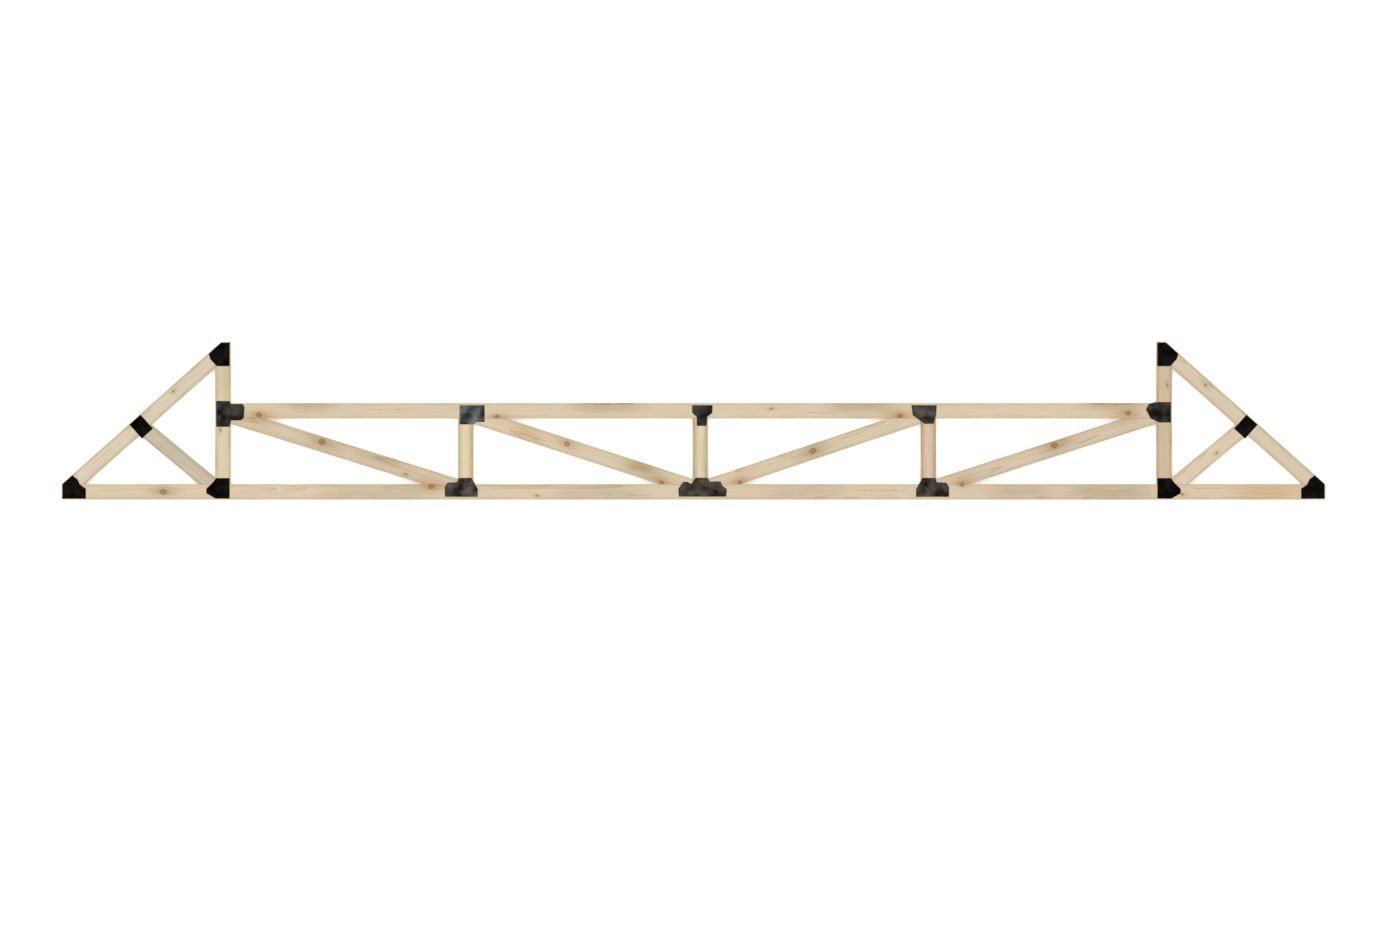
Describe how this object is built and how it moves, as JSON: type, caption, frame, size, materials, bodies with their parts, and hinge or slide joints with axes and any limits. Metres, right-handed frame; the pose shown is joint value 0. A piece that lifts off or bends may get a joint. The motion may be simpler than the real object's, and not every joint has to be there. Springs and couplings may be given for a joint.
{
  "type": "roof truss",
  "caption": "Flat wooden roof truss of planed boards with cantilevered mansard ends and raised parapet posts, joined by pressed steel connector plates.",
  "frame": {"origin": "centre of the outline seen from the front, on the plane that the lower connector plates rest on", "axes": "+X along the span from the left heel to the right heel, +Y up the truss from the bottom chord to the parapet, +Z through its thickness towards the face seen in front"},
  "size_m": [7.3152, 0.9144, 0.041],
  "materials": {
    "softwood": "bare planed softwood, matt",
    "connector_steel": "dark sheet steel, satin"
  },
  "bodies": {
    "root": {"bearing_left_plate_back": "connector_steel", "bearing_left_plate_front": "connector_steel", "bearing_right_plate_back": "connector_steel", "bearing_right_plate_front": "connector_steel", "bottom_1_plate_back": "connector_steel", "bottom_1_plate_front": "connector_steel", "bottom_2_plate_back": "connector_steel", "bottom_2_plate_front": "connector_steel", "bottom_3_plate_back": "connector_steel", "bottom_3_plate_front": "connector_steel", "bottom_chord_left": "softwood", "bottom_chord_right": "softwood", "diagonal_web_1": "softwood", "diagonal_web_2": "softwood", "diagonal_web_3": "softwood", "diagonal_web_4": "softwood", "heel_left_plate_back": "connector_steel", "heel_left_plate_front": "connector_steel", "heel_right_plate_back": "connector_steel", "heel_right_plate_front": "connector_steel", "mansard_chord_left": "softwood", "mansard_chord_right": "softwood", "mansard_left_plate_back": "connector_steel", "mansard_left_plate_front": "connector_steel", "mansard_right_plate_back": "connector_steel", "mansard_right_plate_front": "connector_steel", "mansard_web_left": "softwood", "mansard_web_right": "softwood", "parapet_peak_left_plate_back": "connector_steel", "parapet_peak_left_plate_front": "connector_steel", "parapet_peak_right_plate_back": "connector_steel", "parapet_peak_right_plate_front": "connector_steel", "parapet_post_left": "softwood", "parapet_post_right": "softwood", "post_top_chord_left_plate_back": "connector_steel", "post_top_chord_left_plate_front": "connector_steel", "post_top_chord_right_plate_back": "connector_steel", "post_top_chord_right_plate_front": "connector_steel", "top_1_plate_back": "connector_steel", "top_1_plate_front": "connector_steel", "top_2_plate_back": "connector_steel", "top_2_plate_front": "connector_steel", "top_3_plate_back": "connector_steel", "top_3_plate_front": "connector_steel", "top_chord": "softwood", "upright_web_1": "softwood", "upright_web_2": "softwood", "upright_web_3": "softwood"}
  },
  "joints": []
}
